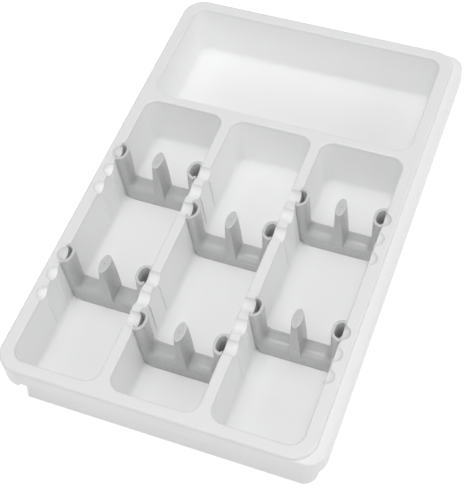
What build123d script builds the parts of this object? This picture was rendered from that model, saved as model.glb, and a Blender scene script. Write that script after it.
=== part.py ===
from build123d import *
import os
from math import atan2, cos, degrees, radians, sin, tan

# An expandable cutlery tray for a kitchen drawer: a fixed upper tray with moulded compartments,
# a lower tray that slides out from under it, and six lift-out dividers that sit in notches.
# X runs to the right, Y to the back and Z up. The origin is the middle of the underside.

# Upper tray: rim
rim_length = 392.5
rim_width = 242.0
rim_corner = 18.0
rim_thickness = 2.7
rim_edge_round = 2.2
side_rim = 10.5
front_rim = 9.5
back_rim = 10.5

# Upper tray: compartments
upper_wall = 1.8
compartment_depth = 46.0
compartment_draft = 4.0
back_compartment_length = 104.0
cross_wall = 8.0
column_names = ["left", "middle", "right"]
column_wall = 8.5
opening_corner = 11.0
opening_edge_round = 1.4
floor_round = 4.0

# Upper tray: skirt round its left end, and the foot, rails and stop rib under its floor
upper_skirt_drop = 22.5
upper_skirt_wall = 1.8
upper_skirt_past_corner = 1.0
upper_skirt_end_round = 3.0
foot_width = 2.2
foot_end_inset = 16.2
foot_gap = 1.2
rail_width = 3.0
rail_end_inset = 10.5
rail_play = 0.2
stop_rib_width = 1.6
stop_rib_drop = 1.6
stop_rib_end_inset = 36.0

# Notches in the walls beside the columns, and the fin below each
notch_group_names = ["back", "front"]
notch_group_shares = [0.3056, 0.7071]
notches_per_group = 3
notch_pitch = 18.6
notch_radius = 6.8
notch_depth = 5.0
dish_inset = 0.6
fin_thickness = 1.2
fin_top_reach = 1.4
fin_foot_reach = 0.4
fin_lead = 4.0
fin_above_floor = 5.0

# Lower tray
lower_wall = 1.8
nest_gap = 2.4
nest_play = 1.6
rim_gap = 0.3
lower_rim_thickness = 2.0
lower_rim_reveal = 7.5
lower_rim_corner = 14.0
lower_edge_round = 1.0
lower_draft = 1.4
lower_foot_corner = 10.5
lower_foot_round = 2.6
lower_floor_round = 1.0
lower_skirt_drop = 13.5
lower_skirt_flare = 0.7
lower_skirt_wall = 1.6
lower_rim_end_inset = 19.3
lower_end_wall_inset = 2.0
lower_wall_top_inset = 25.1
lower_wall_foot_inset = 16.3
slide_travel = 110.0
slide_play = 0.3
lip_thickness = 1.4
lip_height = 1.4
lip_rail_gap = 32.0

# Dividers
divider_notches = [0, 2, 0]
divider_wall = 2.1
divider_play = 0.35
divider_rise = 2.2
divider_depth = 17.6
arm_top_reach = 7.7
arm_foot_reach = 8.6
base_height = 11.4
ridge_round = 7.0
inside_corner = 4.0
outside_corner = 10.0
flare_height = 6.0
flare_reach = 1.6
edge_lip_width = 1.1
edge_lip_step = 0.35
hook_reach = 1.4
hook_play = 0.2
hook_mouth = 11.6
prong_top_width = 7.8
prong_top_depth = 16.8
prong_foot_width = 10.4
prong_foot_depth = 36.0
prong_blend_start = 4.0
prong_blend_round = 2.8
prong_blend_steps = 4
prong_blend_inset = 0.15
prong_cap = 2.0
prong_edge_round = 0.5
dimple_radius = 1.1
dimple_depth = 0.5

# Cuts run past the solid by this much
overrun = 2.0

# Places that follow from the sizes
basin_bottom = lower_wall + nest_gap
floor_top = basin_bottom + upper_wall
rim_top = floor_top + compartment_depth
lower_rim_top = rim_top - rim_thickness - rim_gap
upper_x = -(lower_rim_reveal + lower_skirt_flare) / 2
upper_left = upper_x - rim_width / 2
lower_right = upper_x + rim_width / 2 + lower_rim_reveal
lower_floor_left = upper_left + lower_wall_foot_inset
draft_run = tan(radians(compartment_draft))
lower_draft_run = tan(radians(lower_draft))

column_count = len(column_names)
group_count = len(notch_group_names)
column_width = (rim_width - 2 * side_rim - (column_count - 1) * column_wall) / column_count
column_step = column_width + column_wall
column_x = [upper_x + (i - (column_count - 1) / 2) * column_step for i in range(column_count)]
back_edge = rim_length / 2 - back_rim
column_back = back_edge - back_compartment_length - cross_wall
column_front = front_rim - rim_length / 2
column_middle = (column_back + column_front) / 2
column_length = column_back - column_front

back_width = rim_width - 2 * side_rim
back_middle = back_edge - back_compartment_length / 2
compartments = [(upper_x, back_middle, back_width, back_compartment_length)]
compartments += [(x, column_middle, column_width, column_length) for x in column_x]

# The middle of each group of notches lies at its share of the columns' length, from the back
group_y = [column_back - share * column_length for share in notch_group_shares]
notch_y = [
    [middle + ((notches_per_group - 1) / 2 - i) * notch_pitch for i in range(notches_per_group)]
    for middle in group_y
]
all_notch_y = [y for group in notch_y for y in group]
notch_centre_z = rim_top - notch_depth + notch_radius
saddle_x = [(column_x[i] + column_x[i + 1]) / 2 for i in range(column_count - 1)]
dish_x = [
    column_x[0] - column_width / 2 + dish_inset,
    column_x[-1] + column_width / 2 - dish_inset,
]


def basin(x, y, width, length, bottom, corner, bottom_round):
    """A tub-shaped solid that hangs from the top of the rim and draws in towards its bottom."""
    with BuildPart() as tub:
        with BuildSketch(Plane.XY.offset(rim_top)):
            with Locations((x, y)):
                RectangleRounded(width, length, corner)
        extrude(amount=bottom - rim_top, taper=compartment_draft)
        fillet(tub.faces().sort_by(Axis.Z)[0].edges(), bottom_round)
    return tub.part


def notch_shapes(radius, past_wall):
    """Round channels over the middle walls and round dishes in the two outer walls."""
    with BuildPart() as shapes:
        for x in saddle_x:
            for y in all_notch_y:
                with Locations(Location((x, y, notch_centre_z), (0, 90, 0))):
                    Cylinder(radius, column_wall + past_wall)
        for x in dish_x:
            for y in all_notch_y:
                with Locations((x, y, notch_centre_z)):
                    Sphere(radius, rotation=(90, 0, 0))
        split(bisect_by=Plane.XY.offset(rim_top), keep=Keep.BOTTOM)
    return shapes.part


# The hollow of each compartment, and the same shape grown by the wall
hollows = [
    basin(x, y, width, length, floor_top, opening_corner, floor_round)
    for x, y, width, length in compartments
]
shells = [
    basin(
        x,
        y,
        width + 2 * upper_wall,
        length + 2 * upper_wall,
        basin_bottom,
        opening_corner + upper_wall,
        floor_round + upper_wall,
    )
    for x, y, width, length in compartments
]

# The skirt hangs from the rim at the left end and stops just past both corners
skirt_bottom = rim_top - upper_skirt_drop
skirt_end = upper_left + rim_corner + upper_skirt_past_corner
with BuildPart() as upper_skirt:
    with BuildSketch(Plane.XY.offset(skirt_bottom)):
        with Locations((upper_x, 0)):
            RectangleRounded(rim_width, rim_length, rim_corner)
        offset(amount=-upper_skirt_wall, mode=Mode.SUBTRACT)
    extrude(amount=upper_skirt_drop - rim_thickness)
    with BuildSketch(Plane.XZ) as skirt_side:
        with BuildLine():
            Polyline(
                (upper_left, rim_top),
                (upper_left, skirt_bottom),
                (skirt_end, skirt_bottom),
                (skirt_end, rim_top),
                close=True,
            )
        make_face()
        fillet(skirt_side.vertices().group_by(Axis.Y)[0].sort_by(Axis.X)[-1], upper_skirt_end_round)
    extrude(amount=rim_length, both=True, mode=Mode.INTERSECT)

# A thin upright fin on the wall below each notch guides the hollow arm of a divider
fin_top = rim_top - notch_depth - dish_inset
fin_knee = fin_top - fin_lead
fin_foot = floor_top + fin_above_floor
fin_top_wall = column_width / 2 - (rim_top - fin_top) * draft_run
fin_knee_wall = column_width / 2 - (rim_top - fin_knee) * draft_run
fin_foot_wall = column_width / 2 - (rim_top - fin_foot) * draft_run
with BuildPart() as fins:
    for y in all_notch_y:
        with BuildSketch(Plane.XZ.offset(-y)):
            for x in column_x:
                for side in (-1, 1):
                    with BuildLine():
                        Polyline(
                            (x + side * fin_top_wall, fin_top),
                            (x + side * (fin_knee_wall - fin_top_reach), fin_knee),
                            (x + side * (fin_foot_wall - fin_foot_reach), fin_foot),
                            (x + side * (fin_foot_wall + upper_wall / 2), fin_foot),
                            (x + side * (fin_top_wall + upper_wall / 2), fin_top),
                            close=True,
                        )
                    make_face()
        extrude(amount=fin_thickness / 2, both=True)

# Upper tray: the back rail lies under the middle of the back compartment, the other as far in front
shells_length = back_edge - column_front
foot_length = shells_length - 2 * foot_end_inset
foot_x = lower_floor_left - foot_gap - foot_width / 2
rail_length = back_width - 2 * rail_end_inset
stop_rib_length = shells_length - 2 * stop_rib_end_inset
stop_rib_x = lower_floor_left + lip_thickness + slide_travel + slide_play + stop_rib_width / 2
with BuildPart() as upper_tray:
    with BuildSketch(Plane.XY.offset(rim_top - rim_thickness)):
        with Locations((upper_x, 0)):
            RectangleRounded(rim_width, rim_length, rim_corner)
    extrude(amount=rim_thickness)
    fillet(upper_tray.faces().sort_by(Axis.Z)[-1].edges(), rim_edge_round)
    add(upper_skirt.part)
    add(shells)
    add(notch_shapes(notch_radius + upper_wall, -upper_wall))
    with BuildSketch():
        with Locations((foot_x, 0)):
            SlotOverall(foot_length, foot_width, rotation=90)
    extrude(amount=floor_top + floor_round)
    with BuildSketch(Plane.XY.offset(lower_wall + rail_play)):
        with Locations((upper_x, -back_middle), (upper_x, back_middle)):
            Rectangle(rail_length, rail_width)
    extrude(amount=nest_gap - rail_play + upper_wall)
    with BuildSketch(Plane.XY.offset(basin_bottom - stop_rib_drop)):
        with Locations((stop_rib_x, 0)):
            Rectangle(stop_rib_width, stop_rib_length)
    extrude(amount=stop_rib_drop + upper_wall)
    add(hollows, mode=Mode.SUBTRACT)
    fillet(upper_tray.faces().sort_by(Axis.Z)[-1].inner_wires().edges(), opening_edge_round)
    add(fins.part)
    add(notch_shapes(notch_radius, 2 * overrun), mode=Mode.SUBTRACT)
upper_tray.part.label = "upper_tray"


# Lower tray: the rim and its flared skirt, open at the left end
lower_rim_end = upper_left + lower_rim_end_inset
lower_rim_x = (upper_left + lower_right) / 2
lower_rim_width = lower_right - upper_left
skirt_taper = -degrees(atan2(lower_skirt_flare, lower_skirt_drop))
with BuildPart() as lower_rim:
    with BuildSketch(Plane.XY.offset(lower_rim_top)):
        with Locations((lower_rim_x, 0)):
            RectangleRounded(lower_rim_width, rim_length, lower_rim_corner)
    extrude(amount=-lower_skirt_drop, taper=skirt_taper)
    fillet(lower_rim.faces().sort_by(Axis.Z)[-1].edges(), lower_edge_round)
    with BuildSketch(Plane.XY.offset(lower_rim_top - lower_rim_thickness)):
        with Locations((lower_rim_x, 0)):
            RectangleRounded(lower_rim_width, rim_length, lower_rim_corner)
        offset(amount=-lower_skirt_wall)
    extrude(amount=-lower_skirt_drop, taper=skirt_taper, mode=Mode.SUBTRACT)
    split(bisect_by=Plane.YZ.offset(lower_rim_end), keep=Keep.TOP)

# Lower tray: the body, which fits round the upper tray and whose walls end on a slant at the left
nest_half_length = max(back_edge, -column_front) + upper_wall - (rim_top - lower_rim_top) * draft_run
lower_body_length = 2 * (nest_half_length + nest_play + lower_wall)
lower_rim_band = (rim_length - lower_body_length) / 2
lower_body_right = lower_right - lower_rim_band - lower_end_wall_inset
lower_body_x = (upper_left + lower_body_right) / 2
lower_body_width = lower_body_right - upper_left
lower_body_corner = lower_foot_corner + lower_rim_top * lower_draft_run
wall_end = Plane(
    origin=(lower_floor_left, 0, 0),
    x_dir=(0, 1, 0),
    z_dir=(lower_rim_top, 0, lower_wall_foot_inset - lower_wall_top_inset),
)
with BuildPart() as lower_body:
    with BuildSketch(Plane.XY.offset(lower_rim_top)):
        with Locations((lower_body_x, 0)):
            RectangleRounded(lower_body_width, lower_body_length, lower_body_corner)
    extrude(amount=-lower_rim_top, taper=lower_draft)
    fillet(lower_body.faces().sort_by(Axis.Z)[0].edges(), lower_foot_round)
    split(bisect_by=wall_end, keep=Keep.TOP)

with BuildPart() as lower_hollow:
    with BuildSketch(Plane.XY.offset(lower_rim_top)):
        with Locations((lower_body_x, 0)):
            RectangleRounded(lower_body_width, lower_body_length, lower_body_corner)
        offset(amount=-lower_wall)
    extrude(amount=lower_wall - lower_rim_top, taper=lower_draft)
    fillet(lower_hollow.faces().sort_by(Axis.Z)[0].edges(), lower_floor_round)

lip_length = 2 * (back_middle - rail_width / 2 - lip_rail_gap)
with BuildPart() as lower_tray:
    add(lower_body.part)
    add(lower_rim.part)
    add(lower_hollow.part, mode=Mode.SUBTRACT)
    with BuildSketch(Plane.XY.offset(lower_wall)):
        with Locations((lower_floor_left + lip_thickness / 2, 0)):
            Rectangle(lip_thickness, lip_length)
    extrude(amount=lip_height)
lower_tray.part.label = "lower_tray"

# Divider: it is drawn in the middle of a column, with the floor at zero height
divider_height = compartment_depth + divider_rise
divider_half_depth = divider_depth / 2
foot_half = column_width / 2 - compartment_depth * draft_run - divider_play
top_half = foot_half + divider_height * draft_run
arm_top_x = column_width / 2 - arm_top_reach
arm_foot_x = column_width / 2 - arm_foot_reach


def front_view(inset, grow):
    """The U of the base and the arms, thinned from the inside and grown on the outside."""
    top = divider_height + grow
    with BuildSketch(Plane.XZ) as outline:
        with BuildLine():
            Polyline(
                (-top_half - grow, top),
                (-foot_half - grow, -grow),
                (foot_half + grow, -grow),
                (top_half + grow, top),
                (arm_top_x + inset, top),
                (arm_foot_x + inset, base_height - inset),
                (-arm_foot_x - inset, base_height - inset),
                (-arm_top_x - inset, top),
                close=True,
            )
        make_face()
        fillet(outline.vertices().group_by(Axis.Y)[1], inside_corner + inset)
        if not grow:
            fillet(outline.vertices().group_by(Axis.Y)[0], outside_corner)
    return outline.sketch


def channel(inset, grow):
    """The U with its inner side rounded from front to back."""
    with BuildPart() as solid:
        extrude(front_view(inset, grow), amount=divider_half_depth - inset, both=True)
        sides = solid.faces().group_by(Axis.Y)
        ridges = (sides[0].edges() + sides[-1].edges()).filter_by(
            lambda edge: edge.center().Z > base_height / 2 and abs(edge.center().X) < arm_top_x + inset
        )
        fillet(ridges, ridge_round - inset)
    return solid.part


def flare(inset, grow):
    """The foot of the base, which spreads to the front and the back down to the floor."""
    half = divider_half_depth - inset
    with BuildPart() as solid:
        with BuildSketch(Plane.YZ):
            with BuildLine():
                Polyline(
                    (-half - flare_reach, 0),
                    (half + flare_reach, 0),
                    (half, flare_height),
                    (-half, flare_height),
                    close=True,
                )
            make_face()
        extrude(amount=foot_half + grow, both=True)
        if not grow:
            extrude(front_view(0, 0), amount=divider_depth, both=True, mode=Mode.INTERSECT)
    return solid.part


def prong(inset, top):
    """The oval prong in the middle of the base, cut flush with the front and the back of the base."""
    sections = [
        (0, prong_foot_width, prong_foot_depth),
        (top, prong_top_width, prong_top_depth),
    ]
    with BuildPart() as solid:
        for height, width, depth in sections:
            with BuildSketch(Plane.XY.offset(height)):
                Ellipse(width / 2 - inset, depth / 2 - inset)
        loft()
        fillet(solid.faces().sort_by(Axis.Z)[-1].edges(), prong_edge_round)
        with BuildSketch():
            Rectangle(prong_foot_width, divider_depth - 2 * inset)
        extrude(amount=top, mode=Mode.INTERSECT)
    return solid.part


# The crown of the base rises in a round into each side of the prong
with BuildPart() as prong_blend:
    for step in range(prong_blend_steps + 1):
        turn = radians(90) * step / prong_blend_steps
        reach = prong_blend_start + prong_blend_round * (1 - sin(turn))
        crown = base_height - prong_blend_inset + prong_blend_round * (1 - cos(turn))
        with BuildSketch(Plane.YZ.offset(reach)) as blend_section:
            with Locations((0, crown / 2)):
                Rectangle(divider_depth - 2 * prong_blend_inset, crown)
            fillet(blend_section.vertices().group_by(Axis.Y)[-1], ridge_round)
    loft()
    mirror(about=Plane.YZ)


# A narrow lip stands proud along the outer edges of the arms
with BuildPart() as edge_lip:
    with BuildSketch(Plane.XZ) as lip_view:
        with BuildLine():
            Polyline(
                (-top_half - overrun * draft_run, divider_height + overrun),
                (-foot_half, 0),
                (foot_half, 0),
                (top_half + overrun * draft_run, divider_height + overrun),
                close=True,
            )
        make_face()
        fillet(lip_view.vertices().group_by(Axis.Y)[0], outside_corner)
        offset(amount=-edge_lip_width, mode=Mode.SUBTRACT)
    extrude(amount=divider_half_depth + edge_lip_step, both=True)
    extrude(front_view(0, 0), amount=divider_depth, both=True, mode=Mode.INTERSECT)

# Two short hooks on each arm reach over the top of the wall, one at each side of the mouth
hook_bottom = compartment_depth + hook_play
hook_root = foot_half + hook_bottom * draft_run
with BuildPart() as hooks:
    with BuildSketch(Plane.XY.offset(hook_bottom)):
        with Locations((-hook_root, 0), (hook_root, 0)):
            Ellipse(column_width / 2 + hook_reach - hook_root, divider_half_depth)
        Rectangle(2 * hook_root, divider_depth, mode=Mode.SUBTRACT)
        Rectangle(column_width + 2 * hook_reach, hook_mouth, mode=Mode.SUBTRACT)
    extrude(amount=divider_height - hook_bottom)

with BuildPart() as divider:
    add(channel(0, 0))
    add(flare(0, 0))
    add(edge_lip.part)
    add(prong_blend.part)
    add(prong(0, divider_height))
    add(channel(divider_wall, overrun), mode=Mode.SUBTRACT)
    add(flare(divider_wall, overrun), mode=Mode.SUBTRACT)
    add(prong(divider_wall, divider_height - prong_cap), mode=Mode.SUBTRACT)
    add(hooks.part)
    with Locations((0, 0, divider_height + dimple_radius - dimple_depth)):
        Sphere(dimple_radius, rotation=(90, 0, 0), mode=Mode.SUBTRACT)

os.makedirs("parts", exist_ok=True)
export_step(upper_tray.part, "parts/upper_tray.step")
export_step(lower_tray.part, "parts/lower_tray.step")

# One divider for each column and each group of notches
for column in range(column_count):
    for group in range(group_count):
        with BuildPart() as placed_divider:
            with Locations((column_x[column], notch_y[group][divider_notches[column]], floor_top)):
                add(divider.part)
        name = f"divider_{column_names[column]}_{notch_group_names[group]}"
        placed_divider.part.label = name
        export_step(placed_divider.part, f"parts/{name}.step")
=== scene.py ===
from math import radians

import bpy
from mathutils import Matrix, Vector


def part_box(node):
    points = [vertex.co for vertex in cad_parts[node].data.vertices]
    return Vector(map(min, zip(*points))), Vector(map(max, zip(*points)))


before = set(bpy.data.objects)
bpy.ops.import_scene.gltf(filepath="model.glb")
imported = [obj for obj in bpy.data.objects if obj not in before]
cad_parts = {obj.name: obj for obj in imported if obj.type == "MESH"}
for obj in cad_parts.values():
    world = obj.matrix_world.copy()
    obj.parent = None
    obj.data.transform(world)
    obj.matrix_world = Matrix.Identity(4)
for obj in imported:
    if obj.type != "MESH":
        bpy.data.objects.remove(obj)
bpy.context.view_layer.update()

# Units: metres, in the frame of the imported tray
MM = 0.001

# The places of a Mix node's colour sockets, which share their names with its other sockets
MIX_FIRST, MIX_SECOND, MIX_RESULT = 6, 7, 2

# Camera: the place, turn and lens that were fitted to the rim's straight edges
camera_place = (0.2240, -0.4996, 0.7724)
camera_turn = (34.95, 3.70, 20.50)
camera_lens = 86.03
camera_sensor = 36.0
camera_near, camera_far = 0.01, 50.0

# Lights: soft boxes overhead, at the right and in front, each with its watts, place and turn
soft_box_size = 2.0
soft_boxes = {
    "overhead_light": (32.0, (0.0, 0.0, 3.0), (0, 0, 0)),
    "right_light": (21.0, (3.0, 0.0, 1.7), (0, 60, 0)),
    "front_light": (16.0, (0.0, -3.0, 1.7), (60, 0, 0)),
}
sky_strength = 0.38
sky_colour = (1.0, 1.0, 1.0, 1.0)

# Floor: a pale table that stays white to the camera and keeps a soft shadow
floor_size = 40.0
floor_gap = 0.2 * MM
floor_colour = (0.78, 0.78, 0.78)
floor_fleck_colour = (0.74, 0.74, 0.74)
floor_fleck_size = 4 * MM
floor_fleck_share = 0.03
floor_glow = 0.66

# The part of a noise's values over which a shade or gloss makes its whole change, and a wider part
noise_part = (0.3, 0.7)
noise_wide_part = (0.25, 0.75)

# Both plastics: the grain that the mould leaves, the samples of the soft edges and the refraction
grain_strength = 0.12
grain_height = 0.03 * MM
grain_detail = 3.0
grain_roughness = 0.6
edge_samples = 4
plastic_ior = 1.49

# Tray plastic: the clouds shift it from its colour towards its shade, and painted shade makes the
# rim and the top of the walls darker
tray_colour = (0.957, 0.958, 0.959)
tray_shade = (0.940, 0.942, 0.944)
painted_rim_shade_colour = (0.880, 0.881, 0.882)
rim_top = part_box("upper_tray")[1].z
painted_rim_shade_band = 4.5 * MM
tray_roughness = 0.40
tray_gloss_spread = (-0.03, 0.04)
tray_soft_edge = 0.25 * MM
tray_grain_size = 0.45 * MM
tray_cloud_size = 85 * MM
tray_cloud_detail = 3.0
tray_cloud_share = 0.55
tray_speckle_share = 0.06

# Faint round marks that the mould's pins leave on the floors of the compartments
pin_mark_places = (
    (-77.1 * MM, 110.7 * MM),
    (-29.1 * MM, 111.7 * MM),
    (83.9 * MM, 108.7 * MM),
    (-76.1 * MM, -173.2 * MM),
)
pin_mark_radius = 6.5 * MM
pin_mark_soft = 2.5 * MM
pin_mark_top = 8 * MM
pin_mark_share = 0.8

# Divider plastic: mottled from its colour to its shade, with a painted highlight that makes its
# highest surfaces lighter
divider_colour = (0.560, 0.562, 0.565)
divider_shade = (0.548, 0.550, 0.553)
divider_painted_highlight_colour = (0.670, 0.672, 0.675)
divider_painted_highlight_shade = (0.570, 0.572, 0.575)
divider_roughness = 0.29
divider_gloss_spread = (-0.02, 0.02)
divider_specular = 0.8
divider_soft_edge = 0.25 * MM
divider_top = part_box("divider_left_back")[1].z
divider_painted_highlight_band = 1.2 * MM
divider_grain_size = 0.35 * MM
divider_mottle_size = 1.6 * MM
divider_scatter_share = 0.8
divider_scatter_radius = 5.0 * MM


def add_node(tree, kind, inputs=None, **settings):
    """A shader node with its settings and its input values or links."""
    node = tree.nodes.new(kind)
    for name, value in settings.items():
        setattr(node, name, value)
    for name, value in (inputs or {}).items():
        if isinstance(value, bpy.types.NodeSocket):
            tree.links.new(value, node.inputs[name])
        else:
            node.inputs[name].default_value = value
    return node


def maths(tree, operation, first, second):
    """The result socket of one Math node."""
    node = add_node(tree, "ShaderNodeMath", {0: first, 1: second}, operation=operation)
    return node.outputs[0]


def new_material(name):
    """An empty node material and the place that its textures are measured from."""
    material = bpy.data.materials.new(name)
    material.use_nodes = True
    tree = material.node_tree
    tree.nodes.clear()
    place = add_node(tree, "ShaderNodeTexCoord").outputs["Object"]
    return material, tree, place


def noise(tree, place, size, detail=2.0, roughness=0.5):
    """A soft noise whose features are about size metres across."""
    settings = {"Vector": place, "Scale": 1 / size, "Detail": detail, "Roughness": roughness}
    return add_node(tree, "ShaderNodeTexNoise", settings).outputs["Fac"]


def remap(tree, value, old, new):
    """value over the span old becomes a value over the span new, smoothly and never beyond."""
    settings = {
        "Value": value,
        "From Min": old[0],
        "From Max": old[1],
        "To Min": new[0],
        "To Max": new[1],
    }
    node = add_node(tree, "ShaderNodeMapRange", settings, interpolation_type="SMOOTHSTEP")
    return node.outputs["Result"]


def height_of(tree, place):
    """The height over the table, as the piece stands at rest."""
    return add_node(tree, "ShaderNodeSeparateXYZ", {0: place}).outputs["Z"]


def mixed(tree, share, first, second):
    """A colour between first and second."""
    colours = [
        colour if isinstance(colour, bpy.types.NodeSocket) else (*colour, 1.0)
        for colour in (first, second)
    ]
    settings = {"Factor": share, MIX_FIRST: colours[0], MIX_SECOND: colours[1]}
    return add_node(tree, "ShaderNodeMix", settings, data_type="RGBA").outputs[MIX_RESULT]


def moulded_skin(tree, height, soft_edge):
    """The normal of a moulded surface: edges a little soft, and the satin grain of the mould."""
    edges = add_node(tree, "ShaderNodeBevel", {"Radius": soft_edge}, samples=edge_samples)
    settings = {
        "Height": height,
        "Strength": grain_strength,
        "Distance": grain_height,
        "Normal": edges.outputs["Normal"],
    }
    return add_node(tree, "ShaderNodeBump", settings).outputs["Normal"]


def spread(middle, ends):
    """The span round middle that reaches to both ends, which are measured from it."""
    return middle + ends[0], middle + ends[1]


def pin_marks(tree, place):
    """A share that is 1 on the faint round marks of the mould's pins and 0 elsewhere."""
    x_here, y_here, height = add_node(tree, "ShaderNodeSeparateXYZ", {0: place}).outputs
    flat = add_node(tree, "ShaderNodeCombineXYZ", {"X": x_here, "Y": y_here}).outputs[0]
    edge = (pin_mark_radius, pin_mark_radius + pin_mark_soft)
    total = None
    for x, y in pin_mark_places:
        ends = {0: flat, 1: (x, y, 0.0)}
        away = add_node(tree, "ShaderNodeVectorMath", ends, operation="DISTANCE")
        inside = remap(tree, away.outputs["Value"], edge, (1.0, 0.0))
        total = inside if total is None else maths(tree, "MAXIMUM", total, inside)
    low = remap(tree, height, (pin_mark_top, pin_mark_top + MM), (1.0, 0.0))
    return maths(tree, "MULTIPLY", total, low)


def tray_plastic():
    """White satin plastic with faint clouds from the melt's flow, with the pin marks, and with
    painted shade on the rim.
    """
    material, tree, place = new_material("tray_plastic")
    clouds = noise(tree, place, tray_cloud_size, tray_cloud_detail)
    skin = noise(tree, place, tray_grain_size, grain_detail, grain_roughness)
    marks = maths(tree, "MULTIPLY", pin_marks(tree, place), pin_mark_share)
    shade = maths(tree, "ADD", remap(tree, clouds, noise_part, (0.0, tray_cloud_share)), marks)
    speckle = remap(tree, skin, noise_wide_part, (-tray_speckle_share, tray_speckle_share))
    inside = mixed(tree, maths(tree, "ADD", shade, speckle), tray_colour, tray_shade)
    # Painted shade: the rim and the band just under it take a darker colour than the inside
    painted_rim_shade_share = remap(tree, height_of(tree, place), (rim_top - painted_rim_shade_band, rim_top), (0.0, 1.0))
    gloss = spread(tray_roughness, tray_gloss_spread)
    surface = {
        "Base Color": mixed(tree, painted_rim_shade_share, inside, painted_rim_shade_colour),
        "Roughness": remap(tree, clouds, noise_part, gloss),
        "IOR": plastic_ior,
        "Normal": moulded_skin(tree, skin, tray_soft_edge),
    }
    shader = add_node(tree, "ShaderNodeBsdfPrincipled", surface)
    add_node(tree, "ShaderNodeOutputMaterial", {"Surface": shader.outputs[0]})
    return material


def divider_plastic():
    """Mid-grey plastic with a little light in it, mottled, and with a painted highlight on its
    tops.
    """
    material, tree, place = new_material("divider_plastic")
    mottle = noise(tree, place, divider_mottle_size, grain_detail, grain_roughness)
    skin = noise(tree, place, divider_grain_size, grain_detail, grain_roughness)
    # Painted highlight: the surfaces near the top take a lighter colour
    highlight_height_span = (divider_top - divider_painted_highlight_band, divider_top)
    painted_highlight_share = remap(tree, height_of(tree, place), highlight_height_span, (0.0, 1.0))
    shade = remap(tree, mottle, noise_part, (0.0, 1.0))
    body = mixed(tree, shade, divider_colour, divider_shade)
    painted_highlight_tone = mixed(tree, shade, divider_painted_highlight_colour, divider_painted_highlight_shade)
    gloss = spread(divider_roughness, divider_gloss_spread)
    surface = {
        "Base Color": mixed(tree, painted_highlight_share, body, painted_highlight_tone),
        "Roughness": remap(tree, mottle, noise_part, gloss),
        "IOR": plastic_ior,
        "Specular IOR Level": divider_specular,
        "Subsurface Weight": divider_scatter_share,
        "Subsurface Radius": (1.0, 1.0, 1.0),
        "Subsurface Scale": divider_scatter_radius,
        "Normal": moulded_skin(tree, skin, divider_soft_edge),
    }
    shader = add_node(tree, "ShaderNodeBsdfPrincipled", surface)
    add_node(tree, "ShaderNodeOutputMaterial", {"Surface": shader.outputs[0]})
    return material


def seen_directly(tree):
    """1 for what the camera sees straight on, in a gloss or through something clear, or else 0."""
    rays = add_node(tree, "ShaderNodeLightPath").outputs
    total = maths(tree, "MAXIMUM", rays["Is Camera Ray"], rays["Is Glossy Ray"])
    return maths(tree, "MAXIMUM", total, rays["Is Transmission Ray"])


def floor_material():
    """A pale matt table with a faint fleck."""
    material, tree, place = new_material("pale_table")
    fleck = remap(tree, noise(tree, place, floor_fleck_size), noise_part, (0.0, floor_fleck_share))
    colour = mixed(tree, fleck, floor_colour, floor_fleck_colour)
    matt = add_node(tree, "ShaderNodeBsdfDiffuse", {"Color": colour})
    strength = maths(tree, "MULTIPLY", seen_directly(tree), floor_glow)
    glow = add_node(tree, "ShaderNodeEmission", {"Strength": strength})
    both = add_node(tree, "ShaderNodeAddShader", {0: matt.outputs[0], 1: glow.outputs[0]})
    add_node(tree, "ShaderNodeOutputMaterial", {"Surface": both.outputs[0]})
    return material


def make_floor():
    """The table that the tray stands on."""
    bpy.ops.mesh.primitive_plane_add(size=floor_size, location=(0, 0, -floor_gap))
    floor = bpy.context.object
    floor.name = "table"
    floor.data.materials.append(floor_material())


def make_sky():
    """An even white sky: soft light on the tray, plain white where it is seen."""
    world = bpy.data.worlds.new("sky")
    bpy.context.scene.world = world
    world.use_nodes = True
    tree = world.node_tree
    tree.nodes.clear()
    levels = {"Value": seen_directly(tree), "To Min": sky_strength, "To Max": 1.0}
    strength = add_node(tree, "ShaderNodeMapRange", levels).outputs["Result"]
    settings = {"Color": sky_colour, "Strength": strength}
    background = add_node(tree, "ShaderNodeBackground", settings)
    add_node(tree, "ShaderNodeOutputWorld", {"Surface": background.outputs[0]})


def soft_box(name, watts, place, turn):
    """A square soft light."""
    light = bpy.data.lights.new(name, "AREA")
    light.size = soft_box_size
    light.energy = watts
    lamp = bpy.data.objects.new(name, light)
    lamp.location = place
    lamp.rotation_euler = [radians(angle) for angle in turn]
    bpy.context.scene.collection.objects.link(lamp)


def make_camera():
    """The photograph's viewpoint."""
    data = bpy.data.cameras.new("camera")
    data.lens = camera_lens
    data.sensor_width = camera_sensor
    data.clip_start, data.clip_end = camera_near, camera_far
    camera = bpy.data.objects.new("camera", data)
    camera.location = camera_place
    camera.rotation_euler = [radians(angle) for angle in camera_turn]
    bpy.context.scene.collection.objects.link(camera)
    bpy.context.scene.camera = camera


def dress(node, material):
    """The node's own surface in the given material."""
    for slot in node.material_slots:
        slot.material = material
    if not node.material_slots:
        node.data.materials.append(material)


make_camera()
make_sky()
make_floor()
for name, (watts, place, turn) in soft_boxes.items():
    soft_box(name, watts, place, turn)

white = tray_plastic()
grey = divider_plastic()
for name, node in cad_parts.items():
    dress(node, grey if name.startswith("divider") else white)

bpy.context.scene.view_settings.view_transform = "Standard"
